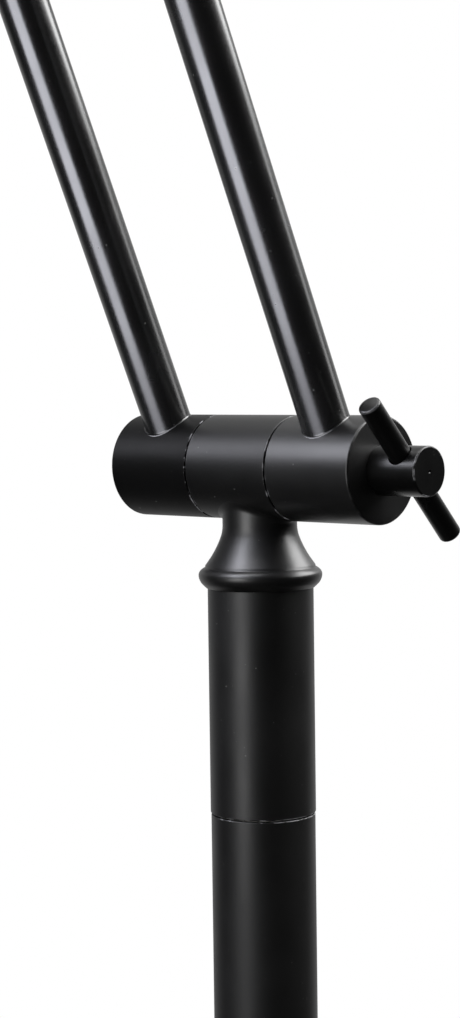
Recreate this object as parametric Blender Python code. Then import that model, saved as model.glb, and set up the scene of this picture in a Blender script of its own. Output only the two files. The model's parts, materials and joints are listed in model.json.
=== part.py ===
"""Pharmacy floor lamp.

A weighted round base carries a pole. The pole's top swivels, and holds a barrel joint that clamps
the two parallel rods of the arm. A second, equal barrel joint at the rods' far end holds the head:
a stem, a cap with a rotary switch, a lamp holder, a tubular bulb and a trough shade.

Metres, +Z up. The origin is the centre of the base's underside. X is the axis of both barrels,
and the arm leans towards -Y. Sizes below are in millimetres, and MM turns them into metres.
"""

import math

import bmesh
import bpy
from mathutils import Euler, Matrix, Vector

MM = 0.001
GAP = 0.3                     # clearance between neighbouring solids

# Driving dimensions
ELBOW_HEIGHT = 1000.0         # barrel axis above the floor
ARM_LEAN = math.radians(24.9)  # rods, from the vertical towards -Y
ARM_SPAN = 450.0              # from barrel axis to barrel axis along the rods
POLE_RADIUS = 12.7
BARREL_RADIUS = 12.7
KNUCKLE_HALF = 12.65          # half the length of a barrel's centre segment
SEAM_GAP = 0.4                # between the segments of a barrel
SLEEVE_END = 38.3             # outer faces of a barrel's two outer segments
ROD_RADIUS = 5.85
ROD_WALL = 1.0
BASE_RADIUS = 135.0
BASE_TOP = 25.0               # flat middle of the base cover

# Barrel joints
SHAFT_RADIUS = 3.0
BORE_RADIUS = 3.35
WASHER_RADIUS = 10.0
WASHER_THICKNESS = 0.8
RECESS_RADIUS = 10.3
RECESS_DEPTH = 1.0
SOCKET_RADIUS = 6.15
SOCKET_FLOOR = 4.7            # depth of a rod socket, from the barrel axis
HANDLE_END = 52.0             # face of the clamp screw's head
HANDLE_RADIUS = 5.83
BAR_AT = 46.5                 # tommy bar, along the barrel axis
BAR_RADIUS = 2.65
BAR_HALF = 21.3
ELBOW_BAR_LEAN = math.radians(43.8)   # tommy bars, from the vertical towards -Y
UPPER_BAR_LEAN = math.radians(-30.0)

# Turned neck under a knuckle, measured from the barrel axis
NECK_TOP = 6.0                # inside the barrel's wall
BEAD_BOTTOM = 29.1
SPIGOT_RADIUS = 11.2
SPIGOT_END = 43.0
CORD_BORE = 3.5

# Column swivel
SLEEVE_TUBE_RADIUS = 12.85
TUBE_BORE = 11.5
SEAM_DROP = 84.1              # seam between pole and swivel sleeve, below the barrel axis
PIN_RADIUS = 8.0
PIN_BORE = 4.0
PIN_CLEARANCE = 8.3

# Head, measured along its own axis from the upper barrel axis
STEM_END = 75.0
CAP_RADIUS = 19.0
CAP_WALL = 2.0
CAP_END = 107.7
HEAD_PIN_RADIUS = 6.0
HOLDER_RADIUS = 17.0
HOLDER_BORE = 13.9
HOLDER_END = 150.0
FLANGE_RADIUS = 20.5
SHADE_START = 112.0
SHADE_LENGTH = 210.0
SHADE_HALF_WIDTH = 55.0
SHADE_SIDE = 8.0              # straight part of the side, above the rim
SHADE_AXIS_ABOVE_RIM = 32.0
SHADE_EDGE = 9.0              # rounding of the two end walls
SHADE_WALL = 1.2
BULB_RADIUS = 16.0
BULB_END = 275.0
GLASS_WALL = 1.0
KNOB_AT = 93.0

FINE = 32                     # segments of a turned piece
COARSE = 16                   # segments of a small or inner one

FINISHES = {
    "black": ((0.012, 0.012, 0.013, 1.0), 0.38, 0.6),
    "iron": ((0.10, 0.10, 0.10, 1.0), 0.65, 0.9),
    "zinc": ((0.55, 0.56, 0.58, 1.0), 0.35, 1.0),
    "brass": ((0.72, 0.52, 0.25, 1.0), 0.30, 1.0),
    "nylon": ((0.75, 0.74, 0.70, 1.0), 0.50, 0.0),
    "felt": ((0.02, 0.02, 0.02, 1.0), 0.95, 0.0),
    "phenolic": ((0.025, 0.02, 0.018, 1.0), 0.30, 0.0),
    "opal_glass": ((0.92, 0.91, 0.88, 1.0), 0.15, 0.0),
}


def clear_scene():
    for old in list(bpy.data.objects):
        bpy.data.objects.remove(old, do_unlink=True)


def make_material(name, finish):
    colour, roughness, metallic = FINISHES[finish]
    material = bpy.data.materials.new(name)
    material.use_nodes = True
    shader = material.node_tree.nodes["Principled BSDF"]
    shader.inputs["Base Color"].default_value = colour
    shader.inputs["Roughness"].default_value = roughness
    shader.inputs["Metallic"].default_value = metallic
    material.diffuse_color = colour
    return material


def make_frame(name, parent, at, turn=0.0):
    """An empty on a joint axis. turn is about X, at is in mm in the parent's frame."""
    frame = bpy.data.objects.new(name, None)
    frame.location = Vector(at) * MM
    frame.rotation_euler = Euler((turn, 0.0, 0.0))
    frame.parent = parent
    bpy.context.scene.collection.objects.link(frame)
    return frame


def make_object(name, bm, parent, finish, at=(0, 0, 0), turn=(0, 0, 0)):
    """Link a bmesh as an object, shaded smooth, at a place in its parent's frame."""
    mesh = bpy.data.meshes.new(name)
    bm.to_mesh(mesh)
    bm.free()
    mesh.shade_smooth()
    mesh.set_sharp_from_angle(angle=math.radians(35.0))
    thing = bpy.data.objects.new(name, mesh)
    thing.location = Vector(at) * MM
    thing.rotation_euler = Euler(turn)
    thing.parent = parent
    bpy.context.scene.collection.objects.link(thing)
    if finish:
        mesh.materials.append(make_material(name + "_finish", finish))
    else:
        thing.hide_render = True
        thing.display_type = "WIRE"
    return thing


def combine(thing, other, operation="DIFFERENCE"):
    modifier = thing.modifiers.new(operation.lower() + "_" + other.name, "BOOLEAN")
    modifier.operation = operation
    modifier.object = other
    modifier.solver = "EXACT"


def turned(outline, segments, axis="Z"):
    """Spin a closed (radius, height) outline about Z, or about X with heights along X."""
    bm = bmesh.new()
    corners = [bm.verts.new((radius * MM, 0.0, height * MM)) for radius, height in outline]
    open_on_axis = outline[0][0] == 0.0 and outline[-1][0] == 0.0
    last = len(corners) - 1 if open_on_axis else len(corners)
    edges = [bm.edges.new((corners[i], corners[(i + 1) % len(corners)])) for i in range(last)]
    bmesh.ops.spin(bm, geom=corners + edges, cent=(0, 0, 0), axis=(0, 0, 1),
                   angle=2.0 * math.pi, steps=segments, use_duplicate=False)
    bmesh.ops.remove_doubles(bm, verts=bm.verts, dist=1e-6)
    bmesh.ops.recalc_face_normals(bm, faces=bm.faces)
    if axis == "X":
        bmesh.ops.rotate(bm, verts=bm.verts, matrix=Matrix.Rotation(math.pi / 2.0, 3, "Y"))
    return bm


def rod_outline(radius, low, high, chamfer=0.0, bore=0.0):
    """Outline of a bar, or of a tube when bore is given."""
    outer = [(radius - chamfer, low), (radius, low + chamfer),
             (radius, high - chamfer), (radius - chamfer, high)]
    if chamfer == 0.0:
        outer = [(radius, low), (radius, high)]
    return [(bore, low)] + outer + [(bore, high)]


def arc(centre, radius, start, end, steps):
    """Points on an arc in the (radius, height) plane, angles in degrees."""
    points = []
    for i in range(steps + 1):
        angle = math.radians(start + (end - start) * i / steps)
        points.append((centre[0] + radius * math.cos(angle), centre[1] + radius * math.sin(angle)))
    return points


def box(low, high):
    """A box between two corners, in mm."""
    bm = bmesh.new()
    bmesh.ops.create_cube(bm, size=1.0)
    low, high = Vector(low) * MM, Vector(high) * MM
    bmesh.ops.scale(bm, verts=bm.verts, vec=high - low)
    bmesh.ops.translate(bm, verts=bm.verts, vec=(low + high) / 2.0)
    return bm


# ---------------------------------------------------------------- base and pole

PAD_TOP = 2.0
WEIGHT_TOP = 18.0
CHAMBER_TOP = 10.3            # recess under the weight, for the nut
COVER_WALL = 1.5
NIPPLE_RADIUS = 4.95
NIPPLE_HOLE = 5.3
INLET_HEIGHT = 9.0
INLET_RADIUS = 5.0


def make_base(frame):
    """Felt pad, iron weight, spun cover, and the nipple and nut that hold them to the pole."""
    make_object("floor_pad", turned(rod_outline(BASE_RADIUS - 4.0, 0.0, PAD_TOP), FINE), frame, "felt")

    weight_radius = BASE_RADIUS - COVER_WALL - 2.0
    weight_low = PAD_TOP + GAP
    outline = [(NIPPLE_HOLE, WEIGHT_TOP), (NIPPLE_HOLE, CHAMBER_TOP), (16.0, CHAMBER_TOP),
               (16.0, weight_low), (weight_radius, weight_low), (weight_radius, WEIGHT_TOP - 6.0),
               (weight_radius - 6.0, WEIGHT_TOP)]
    weight = make_object("base_weight", turned(outline, FINE), frame, "iron")
    slot = make_object("cut_cord_slot", box((-7, 10, -1), (7, BASE_RADIUS + 5, 15)), frame, None)
    combine(weight, slot)

    shoulder = arc((BASE_RADIUS - 8.0, 14.0), 8.0, 0.0, 80.0, 4)
    inner_shoulder = arc((BASE_RADIUS - 8.0, 14.0), 8.0 - COVER_WALL, 80.0, 0.0, 4)
    outline = [(BASE_RADIUS, 1.0)] + shoulder + [(30.0, BASE_TOP), (NIPPLE_HOLE, BASE_TOP),
               (NIPPLE_HOLE, BASE_TOP - COVER_WALL), (30.0, BASE_TOP - COVER_WALL)]
    outline += inner_shoulder + [(BASE_RADIUS - COVER_WALL, 1.0)]
    cover = make_object("base_cover", turned(outline, FINE), frame, "black")
    hole = make_object("cut_inlet", turned(rod_outline(INLET_RADIUS, -12.0, 12.0), COARSE), frame, None,
                       at=(0, BASE_RADIUS, INLET_HEIGHT), turn=(math.pi / 2.0, 0, 0))
    combine(cover, hole)

    body = INLET_RADIUS - GAP
    outline = [(3.2, -5.0), (body, -5.0), (body, 0.6), (6.6, 0.6), (6.2, 2.4), (3.2, 3.0)]
    make_object("cord_bushing", turned(outline, COARSE), frame, "phenolic",
                at=(0, BASE_RADIUS, INLET_HEIGHT), turn=(-math.pi / 2.0, 0, 0))

    washer = rod_outline(14.0, 9.3, 10.0, bore=NIPPLE_HOLE)
    make_object("base_washer", turned(washer, COARSE), frame, "zinc")
    hex_hole = NIPPLE_HOLE / math.cos(math.pi / 6.0)
    make_object("base_nut", turned(rod_outline(9.2, 4.0, 9.0, 0.5, hex_hole), 6), frame, "zinc")
    nipple = rod_outline(NIPPLE_RADIUS, 3.0, 60.0, 0.5, 3.6)
    make_object("base_nipple", turned(nipple, COARSE), frame, "zinc")

    low = BASE_TOP + GAP
    outline = [(POLE_RADIUS + GAP, low), (24.0, low), (24.0, low + 2.0), (21.5, low + 4.0),
               (17.5, low + 7.0), (15.6, low + 11.0), (15.6, low + 15.0), (14.8, low + 16.5),
               (POLE_RADIUS + GAP, low + 16.5)]
    make_object("pole_collar", turned(outline, FINE), frame, "black")
    make_object("pole_foot_plug", turned(rod_outline(SPIGOT_RADIUS, low, 56.0, 0.5, NIPPLE_HOLE), COARSE),
                frame, "zinc")

    pole_top = ELBOW_HEIGHT - SEAM_DROP - SEAM_GAP / 2.0
    make_object("pole_tube", turned(rod_outline(POLE_RADIUS, low, pole_top, 0.15, TUBE_BORE), FINE),
                frame, "black")


def make_spigot(name, frame, plug_low, plug_top, pin_top, pin_radius, pin_bore):
    """A plug that fills a tube's end and carries the swivel pin."""
    outline = [(pin_bore, plug_low), (SPIGOT_RADIUS, plug_low), (SPIGOT_RADIUS, plug_top),
               (pin_radius, plug_top), (pin_radius, pin_top), (pin_bore, pin_top)]
    return make_object(name, turned(outline, COARSE), frame, "zinc")


def make_column_swivel(base_frame, column_frame):
    """The pin on the pole's top, and the sleeve and bush that turn on it. Heights from the seam."""
    seam = ELBOW_HEIGHT - SEAM_DROP
    pin_top = SEAM_DROP - SPIGOT_END - 2.0
    spigot_frame = make_frame("pole_top", base_frame, (0, 0, seam))
    make_spigot("swivel_spigot", spigot_frame, -45.0, -2.4, pin_top, PIN_RADIUS, PIN_BORE)
    clip_low = pin_top - 4.0
    clip = rod_outline(10.4, clip_low, clip_low + 1.6, 0.0, PIN_CLEARANCE)
    make_object("swivel_clip", turned(clip, COARSE), spigot_frame, "zinc")

    bush = rod_outline(SPIGOT_RADIUS, -2.1, clip_low - GAP, 0.0, PIN_CLEARANCE)
    make_object("swivel_bushing", turned(bush, COARSE), column_frame, "nylon")
    sleeve_top = SEAM_DROP - BEAD_BOTTOM - GAP
    sleeve = rod_outline(SLEEVE_TUBE_RADIUS, SEAM_GAP / 2.0, sleeve_top, 0.15, TUBE_BORE)
    make_object("swivel_sleeve", turned(sleeve, FINE), column_frame, "black")


# ---------------------------------------------------------------- barrel joints

def neck_outline():
    """Half section of the neck, from its top inside the barrel down to its spigot."""
    flare = [(0.0, -NECK_TOP), (9.2, -NECK_TOP), (9.2, -13.6), (9.7, -16.3), (10.9, -19.7), (12.9, -22.9)]
    groove = [(13.5, -24.2), (14.4, -24.7)]
    bead = [(15.0, -26.0), (14.5, -27.7), (13.1, -BEAD_BOTTOM)]
    spigot = [(SPIGOT_RADIUS, -BEAD_BOTTOM), (SPIGOT_RADIUS, -SPIGOT_END), (0.0, -SPIGOT_END)]
    return flare + groove + bead + spigot


def make_knuckle(name, frame, turn):
    """Centre segment of a barrel with its turned neck, a washer recess in each face and a cord bore."""
    edge = 0.25
    half = KNUCKLE_HALF
    floor = half - RECESS_DEPTH
    right = [(BARREL_RADIUS, half - edge), (BARREL_RADIUS - edge, half), (RECESS_RADIUS, half),
             (RECESS_RADIUS, floor), (BORE_RADIUS, floor)]
    left = [(radius, -height) for radius, height in reversed(right)]
    knuckle = make_object(name, turned(left + right, FINE, "X"), frame, "black", turn=(turn, 0, 0))
    neck = make_object("add_neck_" + name, turned(neck_outline(), FINE), frame, None, turn=(turn, 0, 0))
    combine(knuckle, neck, "UNION")
    bore = make_object("cut_cord_" + name, turned(rod_outline(CORD_BORE, -SPIGOT_END - 5.0, -1.0), COARSE),
                       frame, None, turn=(turn, 0, 0))
    combine(knuckle, bore)


def make_washers(prefix, frame):
    """A friction washer in each recess of a knuckle."""
    low = KNUCKLE_HALF - RECESS_DEPTH + GAP
    for side, sign in (("left", -1), ("right", 1)):
        ends = sorted((sign * low, sign * (low + WASHER_THICKNESS)))
        ring = rod_outline(WASHER_RADIUS, ends[0], ends[1], 0.0, BORE_RADIUS)
        make_object(prefix + "_washer_" + side, turned(ring, COARSE, "X"), frame, "nylon")


def make_sleeves(prefix, frame, turn):
    """The two outer segments of a barrel. The clamp screw goes through the right one into the left."""
    low = KNUCKLE_HALF + SEAM_GAP
    high = SLEEVE_END
    middle = (low + high) / 2.0
    outer = [(BARREL_RADIUS - 0.25, low), (BARREL_RADIUS, low + 0.25),
             (BARREL_RADIUS, high - 0.5), (BARREL_RADIUS - 0.5, high)]
    through = [(BORE_RADIUS, low)] + outer + [(BORE_RADIUS, high)]
    floor = high - 4.0
    blind = [(0.0, floor), (BORE_RADIUS, floor), (BORE_RADIUS, low)] + outer + [(0.0, high)]
    for side, sign, outline in (("left", -1, blind), ("right", 1, through)):
        placed = [(radius, sign * height) for radius, height in outline]
        sleeve = make_object(prefix + "_sleeve_" + side, turned(placed, FINE, "X"), frame, "black",
                             turn=(turn, 0, 0))
        socket = make_object("cut_socket_" + prefix + "_" + side,
                             turned(rod_outline(SOCKET_RADIUS, SOCKET_FLOOR, 20.0), COARSE), frame, None,
                             at=(sign * middle, 0, 0), turn=(turn, 0, 0))
        combine(sleeve, socket)


def make_clamp_screw(prefix, frame):
    """The screw on the barrel axis, with a round head and a tommy bar across it."""
    neck = SLEEVE_END + GAP
    outline = [(0.0, -32.0), (SHAFT_RADIUS - 0.5, -32.0), (SHAFT_RADIUS, -31.5), (SHAFT_RADIUS, neck),
               (HANDLE_RADIUS - 0.3, neck), (HANDLE_RADIUS, neck + 0.3), (HANDLE_RADIUS, HANDLE_END - 0.4),
               (HANDLE_RADIUS - 0.4, HANDLE_END), (0.0, HANDLE_END)]
    screw = make_object(prefix + "_clamp_screw", turned(outline, COARSE, "X"), frame, "black")
    hole = make_object("cut_bar_" + prefix, turned(rod_outline(BAR_RADIUS + GAP, -12.0, 12.0), COARSE),
                       frame, None, at=(BAR_AT, 0, 0))
    combine(screw, hole)
    make_object(prefix + "_tommy_bar", turned(rod_outline(BAR_RADIUS, -BAR_HALF, BAR_HALF, 0.5), COARSE),
                frame, "black", at=(BAR_AT, 0, 0))


def make_rods(frame):
    """The two parallel tubes of the arm, in the sockets of both barrels."""
    middle = (KNUCKLE_HALF + SEAM_GAP + SLEEVE_END) / 2.0
    low = SOCKET_FLOOR + 2.0 * GAP
    outline = rod_outline(ROD_RADIUS, low, ARM_SPAN - low, 0.3, ROD_RADIUS - ROD_WALL)
    for side, sign in (("left", -1), ("right", 1)):
        make_object("rod_" + side, turned(outline, COARSE), frame, "black", at=(sign * middle, 0, 0))


# ---------------------------------------------------------------- head and shade

def make_stem(frame):
    """Stem tube from the upper knuckle, with the swivel pin that the shade turns on."""
    tube = rod_outline(SLEEVE_TUBE_RADIUS, BEAD_BOTTOM + GAP, STEM_END, 0.15, TUBE_BORE)
    make_object("head_stem", turned(tube, FINE), frame, "black")
    make_spigot("head_spigot", frame, SPIGOT_END + 5.0, STEM_END + GAP, STEM_END + 9.0,
                HEAD_PIN_RADIUS, CORD_BORE)
    clip = rod_outline(10.0, STEM_END + 4.2, STEM_END + 6.0, 0.0, HEAD_PIN_RADIUS + GAP)
    make_object("head_clip", turned(clip, COARSE), frame, "zinc")


def make_switch(frame, knob_frame):
    """Cap behind the shade, and the rotary switch inside it with its knob on the +X side."""
    low = STEM_END + 2.0 * GAP
    outline = [(HEAD_PIN_RADIUS + GAP, low), (SLEEVE_TUBE_RADIUS, low), (CAP_RADIUS - 3.0, low + 2.0),
               (CAP_RADIUS, low + 6.0), (CAP_RADIUS, CAP_END), (CAP_RADIUS - CAP_WALL, CAP_END),
               (CAP_RADIUS - CAP_WALL, low + 6.8), (CAP_RADIUS - 4.6, low + 3.3),
               (HEAD_PIN_RADIUS + GAP, low + 3.3)]
    cap = make_object("switch_cap", turned(outline, FINE), frame, "black")
    hole = make_object("cut_knob_hole", turned(rod_outline(3.1, 10.0, 25.0), COARSE, "X"), frame, None,
                       at=(0, 0, KNOB_AT))
    combine(cap, hole)
    body = make_object("rotary_switch", box((2.0, -7.0, KNOB_AT - 6.5), (15.4, 7.0, KNOB_AT + 6.5)),
                       frame, "phenolic")
    seat = make_object("cut_switch_shaft", turned(rod_outline(3.1, 7.7, 25.0), COARSE, "X"), frame, None,
                       at=(0, 0, KNOB_AT))
    combine(body, seat)
    skirt = CAP_RADIUS + 1.0
    outline = [(0.0, 8.0), (2.8, 8.0), (2.8, skirt), (5.6, skirt), (6.0, skirt + 0.6),
               (5.4, skirt + 11.4), (4.8, skirt + 12.0), (0.0, skirt + 12.0)]
    make_object("switch_knob", turned(outline, COARSE, "X"), knob_frame, "black")


def make_lamp_holder(frame):
    """Threaded holder through the shade's rear wall, its clamp ring, centre contact and bulb."""
    back = CAP_END + GAP
    flange_end = SHADE_START - GAP
    outline = [(CORD_BORE, back), (FLANGE_RADIUS, back), (FLANGE_RADIUS, flange_end),
               (HOLDER_RADIUS, flange_end), (HOLDER_RADIUS, HOLDER_END), (HOLDER_BORE, HOLDER_END),
               (HOLDER_BORE, flange_end + 1.0), (CORD_BORE, flange_end + 1.0)]
    make_object("lamp_holder", turned(outline, FINE), frame, "phenolic")
    ring_low = SHADE_START + SHADE_WALL + GAP
    ring = rod_outline(FLANGE_RADIUS, ring_low, ring_low + 5.0, 0.6, HOLDER_RADIUS + GAP)
    make_object("shade_ring", turned(ring, FINE), frame, "phenolic")
    contact_low = flange_end + 1.0 + GAP
    contact = [(0.0, contact_low), (5.0, contact_low), (5.0, contact_low + 1.0), (2.5, contact_low + 3.5),
               (0.0, contact_low + 3.5)]
    make_object("centre_contact", turned(contact, COARSE), frame, "brass")

    cap_low = contact_low + 3.5 + GAP
    cap_top = 146.0
    outline = [(0.0, cap_low), (4.5, cap_low), (9.0, cap_low + 3.0), (13.0, cap_low + 5.0)]
    turns = 5
    pitch = (cap_top - cap_low - 7.0) / turns
    for i in range(turns):
        start = cap_low + 5.5 + pitch * i
        outline += [(13.2, start + 0.25 * pitch), (12.3, start + 0.75 * pitch)]
    outline += [(13.0, cap_top), (0.0, cap_top)]
    make_object("bulb_cap", turned(outline, COARSE), frame, "zinc")

    glass_low = cap_top + GAP
    dome_centre = (0.0, BULB_END - BULB_RADIUS)
    neck = [(12.6, glass_low), (13.4, glass_low + 4.0), (15.4, glass_low + 9.0),
            (BULB_RADIUS, glass_low + 14.0)]
    outside = neck + arc(dome_centre, BULB_RADIUS, 0.0, 90.0, 6)[:-1] + [(0.0, BULB_END)]
    inner_radius = BULB_RADIUS - GLASS_WALL
    inside = [(radius - GLASS_WALL, height) for radius, height in neck]
    inside += arc(dome_centre, inner_radius, 0.0, 90.0, 6)[:-1] + [(0.0, BULB_END - GLASS_WALL)]
    make_object("bulb_glass", turned(list(reversed(outside)) + inside, COARSE), frame, "opal_glass")


def shade_section(bm, along, half_width):
    """One arch-shaped section of the shade, from rim to rim."""
    rim = -SHADE_AXIS_ABOVE_RIM
    spring = rim + SHADE_SIDE
    steps = 20
    points = [(half_width, rim)]
    for i in range(steps + 1):
        angle = math.pi * i / steps
        points.append((half_width * math.cos(angle), spring + half_width * math.sin(angle)))
    points.append((-half_width, rim))
    return [bm.verts.new((x * MM, y * MM, along * MM)) for x, y in points]


def shade_skin(bm, depth):
    """The shade's surface at a depth inside its outer one. Returns the loop of its rim."""
    steps = 4
    rounding = SHADE_EDGE - depth
    stations = []
    for i in range(steps + 1):
        angle = math.pi / 2.0 * i / steps
        stations.append((rounding * (1.0 - math.cos(angle)), rounding * (1.0 - math.sin(angle))))
    start = SHADE_START + depth
    end = SHADE_START + SHADE_LENGTH - depth
    near = [(start + along, inset) for along, inset in stations]
    far = [(end - along, inset) for along, inset in reversed(stations)]
    sections = [shade_section(bm, along, SHADE_HALF_WIDTH - depth - inset) for along, inset in near + far]
    for first, second in zip(sections, sections[1:]):
        for i in range(len(first) - 1):
            bm.faces.new((first[i], first[i + 1], second[i + 1], second[i]))
    bm.faces.new(sections[0])
    bm.faces.new(sections[-1])
    return [section[0] for section in sections] + [section[-1] for section in reversed(sections)]


def make_shade(frame):
    """Half-round trough with rounded end walls, open downwards, with a hole for the lamp holder."""
    bm = bmesh.new()
    outer = shade_skin(bm, 0.0)
    inner = shade_skin(bm, SHADE_WALL)
    for i in range(len(outer)):
        j = (i + 1) % len(outer)
        bm.faces.new((outer[i], outer[j], inner[j], inner[i]))
    bmesh.ops.recalc_face_normals(bm, faces=bm.faces)
    shade = make_object("shade", bm, frame, "black")
    plug = rod_outline(HOLDER_RADIUS + GAP, SHADE_START - 8.0, SHADE_START + 8.0)
    hole = make_object("cut_holder_hole", turned(plug, FINE), frame, None)
    combine(shade, hole)


def main():
    clear_scene()
    base = make_frame("base_frame", None, (0, 0, 0))
    column = make_frame("column_axis", base, (0, 0, ELBOW_HEIGHT - SEAM_DROP))
    elbow = make_frame("elbow_centre", column, (0, 0, SEAM_DROP))
    arm = make_frame("arm_axis", elbow, (0, 0, 0), ARM_LEAN)
    elbow_handle = make_frame("elbow_handle_axis", arm, (0, 0, 0), ELBOW_BAR_LEAN - ARM_LEAN)
    upper_handle = make_frame("upper_handle_axis", arm, (0, 0, ARM_SPAN), UPPER_BAR_LEAN - ARM_LEAN)
    head = make_frame("head_axis", arm, (0, 0, ARM_SPAN), math.pi / 2.0 - ARM_LEAN)
    shade = make_frame("shade_axis", head, (0, 0, 0))
    knob = make_frame("knob_axis", shade, (0, 0, KNOB_AT))

    make_base(base)
    make_column_swivel(base, column)
    make_knuckle("elbow_knuckle", elbow, 0.0)
    make_washers("elbow", elbow)
    make_sleeves("elbow", arm, 0.0)
    make_clamp_screw("elbow", elbow_handle)
    make_rods(arm)
    upper = make_frame("upper_barrel", arm, (0, 0, ARM_SPAN))
    make_sleeves("upper", upper, math.pi)
    make_clamp_screw("upper", upper_handle)
    make_knuckle("upper_knuckle", head, math.pi)
    make_washers("upper", head)
    make_stem(head)
    make_switch(shade, knob)
    make_lamp_holder(shade)
    make_shade(shade)


main()
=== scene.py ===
"""Looks of the pharmacy floor lamp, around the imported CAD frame.

Every visible turned part is made again at a fine resolution, with rounded edges, on the sizes and
axes that the frame gives. Lengths inside outlines are in millimetres, places are in metres.
"""

import json
import math

import bmesh
import bpy
from mathutils import Matrix, Vector


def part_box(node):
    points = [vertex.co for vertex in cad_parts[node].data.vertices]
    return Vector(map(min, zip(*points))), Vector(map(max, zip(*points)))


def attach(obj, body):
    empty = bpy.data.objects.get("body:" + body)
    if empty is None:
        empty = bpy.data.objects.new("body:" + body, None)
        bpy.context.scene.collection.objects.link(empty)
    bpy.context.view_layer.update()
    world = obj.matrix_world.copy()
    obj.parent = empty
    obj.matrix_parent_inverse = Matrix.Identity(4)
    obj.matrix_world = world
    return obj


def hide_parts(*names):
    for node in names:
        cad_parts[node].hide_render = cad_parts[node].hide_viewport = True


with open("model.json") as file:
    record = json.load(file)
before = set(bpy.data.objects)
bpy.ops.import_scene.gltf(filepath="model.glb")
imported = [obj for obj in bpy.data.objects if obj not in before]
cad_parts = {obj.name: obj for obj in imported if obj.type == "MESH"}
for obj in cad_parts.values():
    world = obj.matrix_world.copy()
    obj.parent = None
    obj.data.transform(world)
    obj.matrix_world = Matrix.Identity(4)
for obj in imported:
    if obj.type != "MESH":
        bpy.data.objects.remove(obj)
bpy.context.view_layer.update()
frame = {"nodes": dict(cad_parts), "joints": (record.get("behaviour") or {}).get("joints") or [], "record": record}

MM = 0.001
X_AXIS = Vector((1.0, 0.0, 0.0))
Z_AXIS = Vector((0.0, 0.0, 1.0))


# ---------------------------------------------------------------- places and sizes from the frame

def joint(name):
    """The record's joint of this name."""
    return next(j for j in frame["joints"] if j["name"] == name)


def extent(node, axis):
    """Size of a node's box along an axis, in mm."""
    low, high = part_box(node)
    return (high[axis] - low[axis]) / MM


ELBOW = Vector(joint("arm_swing")["pos_m"])
UPPER = Vector(joint("head_tilt")["pos_m"])
KNOB = Vector(joint("switch_turn")["pos_m"])
ARM = (UPPER - ELBOW).normalized()
HEAD = Vector(joint("shade_swivel")["axis"]).normalized()
SPAN = (UPPER - ELBOW).length / MM

BARREL_R = extent("elbow_sleeve_right", 1) / 2.0
WASHER_PROUD = 0.1            # how far a friction washer stands out of its knuckle
KNUCKLE_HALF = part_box("elbow_washer_right")[1].x / MM - WASHER_PROUD
SLEEVE_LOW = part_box("elbow_sleeve_right")[0].x / MM
SLEEVE_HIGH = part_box("elbow_sleeve_right")[1].x / MM
ROD_X = (SLEEVE_LOW + SLEEVE_HIGH) / 2.0
ROD_R = extent("rod_right", 0) / 2.0
POLE_R = extent("pole_tube", 0) / 2.0
TUBE_R = extent("swivel_sleeve", 0) / 2.0
TUBE_WALL = 1.35
POLE_WALL = 1.2
BEAD_BOTTOM = 29.1            # of a neck, from its barrel's axis
SCREW_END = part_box("elbow_clamp_screw")[1].x / MM
SCREW_SHAFT_R = 3.0
SCREW_REACH = 30.0            # of the shaft, into the left sleeve
BAR_R = extent("elbow_tommy_bar", 0) / 2.0
BAR_X = (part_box("elbow_tommy_bar")[0].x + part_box("elbow_tommy_bar")[1].x) / 2.0 / MM
BAR_HALF = 21.3
ELBOW_BAR_LEAN = math.radians(43.8)     # tommy bars, from the vertical towards -Y
UPPER_BAR_LEAN = math.radians(-30.0)


def place(origin, up):
    """Matrix of a local frame: Z along up, X along the barrels' axis."""
    up = up.normalized()
    side = up.cross(X_AXIS).normalized()
    matrix = Matrix((X_AXIS, side, up)).transposed().to_4x4()
    matrix.translation = origin
    return matrix


AT_FLOOR = place(Vector((0.0, 0.0, 0.0)), Z_AXIS)
AT_ELBOW_NECK = place(ELBOW, -Z_AXIS)
AT_ARM = place(ELBOW, ARM)
AT_UPPER = place(UPPER, ARM)
AT_HEAD = place(UPPER, HEAD)


# ---------------------------------------------------------------- materials

NOISE_ROUGHNESS = 0.55
PATCH_SCALE = 45.0            # noise scales of the powder coat, per metre
GRAIN_SCALE = 1400.0
RUB_GLINT_SCALE = 420.0
DUST_SCALE = 900.0
RUB_GLINT_RANGE = (0.48, 0.62)      # noise values over which an edge goes from whole paint to the rubbed grey, which is partly worn paint and partly a painted highlight
DUST_RANGE = (0.775, 0.83)    # noise values over which a speck of dust appears
DUST_COVER = 0.4
DUST = (0.30, 0.30, 0.29)
RUB_AND_GLINT = (0.20, 0.20, 0.21)   # lighter grey on an edge: partly paint worn thin, partly a painted highlight for the glints along edges and seams


def new_material(name):
    """A node material, with its nodes, links and shader."""
    material = bpy.data.materials.new(name)
    material.use_nodes = True
    nodes = material.node_tree.nodes
    return material, nodes, material.node_tree.links, nodes["Principled BSDF"]


def noise(nodes, links, scale, detail):
    """Noise of a scale, in object space."""
    where = nodes.new("ShaderNodeTexCoord")
    texture = nodes.new("ShaderNodeTexNoise")
    texture.inputs["Scale"].default_value = scale
    texture.inputs["Detail"].default_value = detail
    texture.inputs["Roughness"].default_value = NOISE_ROUGHNESS
    links.new(where.outputs["Object"], texture.inputs["Vector"])
    return texture.outputs["Fac"]


def spread(nodes, links, value, low, high, start=0.3, end=0.7):
    """Map a value that runs from start to end to the range from low to high."""
    node = nodes.new("ShaderNodeMapRange")
    node.inputs["From Min"].default_value = start
    node.inputs["From Max"].default_value = end
    node.inputs["To Min"].default_value = low
    node.inputs["To Max"].default_value = high
    links.new(value, node.inputs["Value"])
    return node.outputs["Result"]


def multiply(nodes, links, first, second):
    """Product of two values."""
    node = nodes.new("ShaderNodeMath")
    node.operation = "MULTIPLY"
    links.new(first, node.inputs[0])
    links.new(second, node.inputs[1])
    return node.outputs["Value"]


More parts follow.
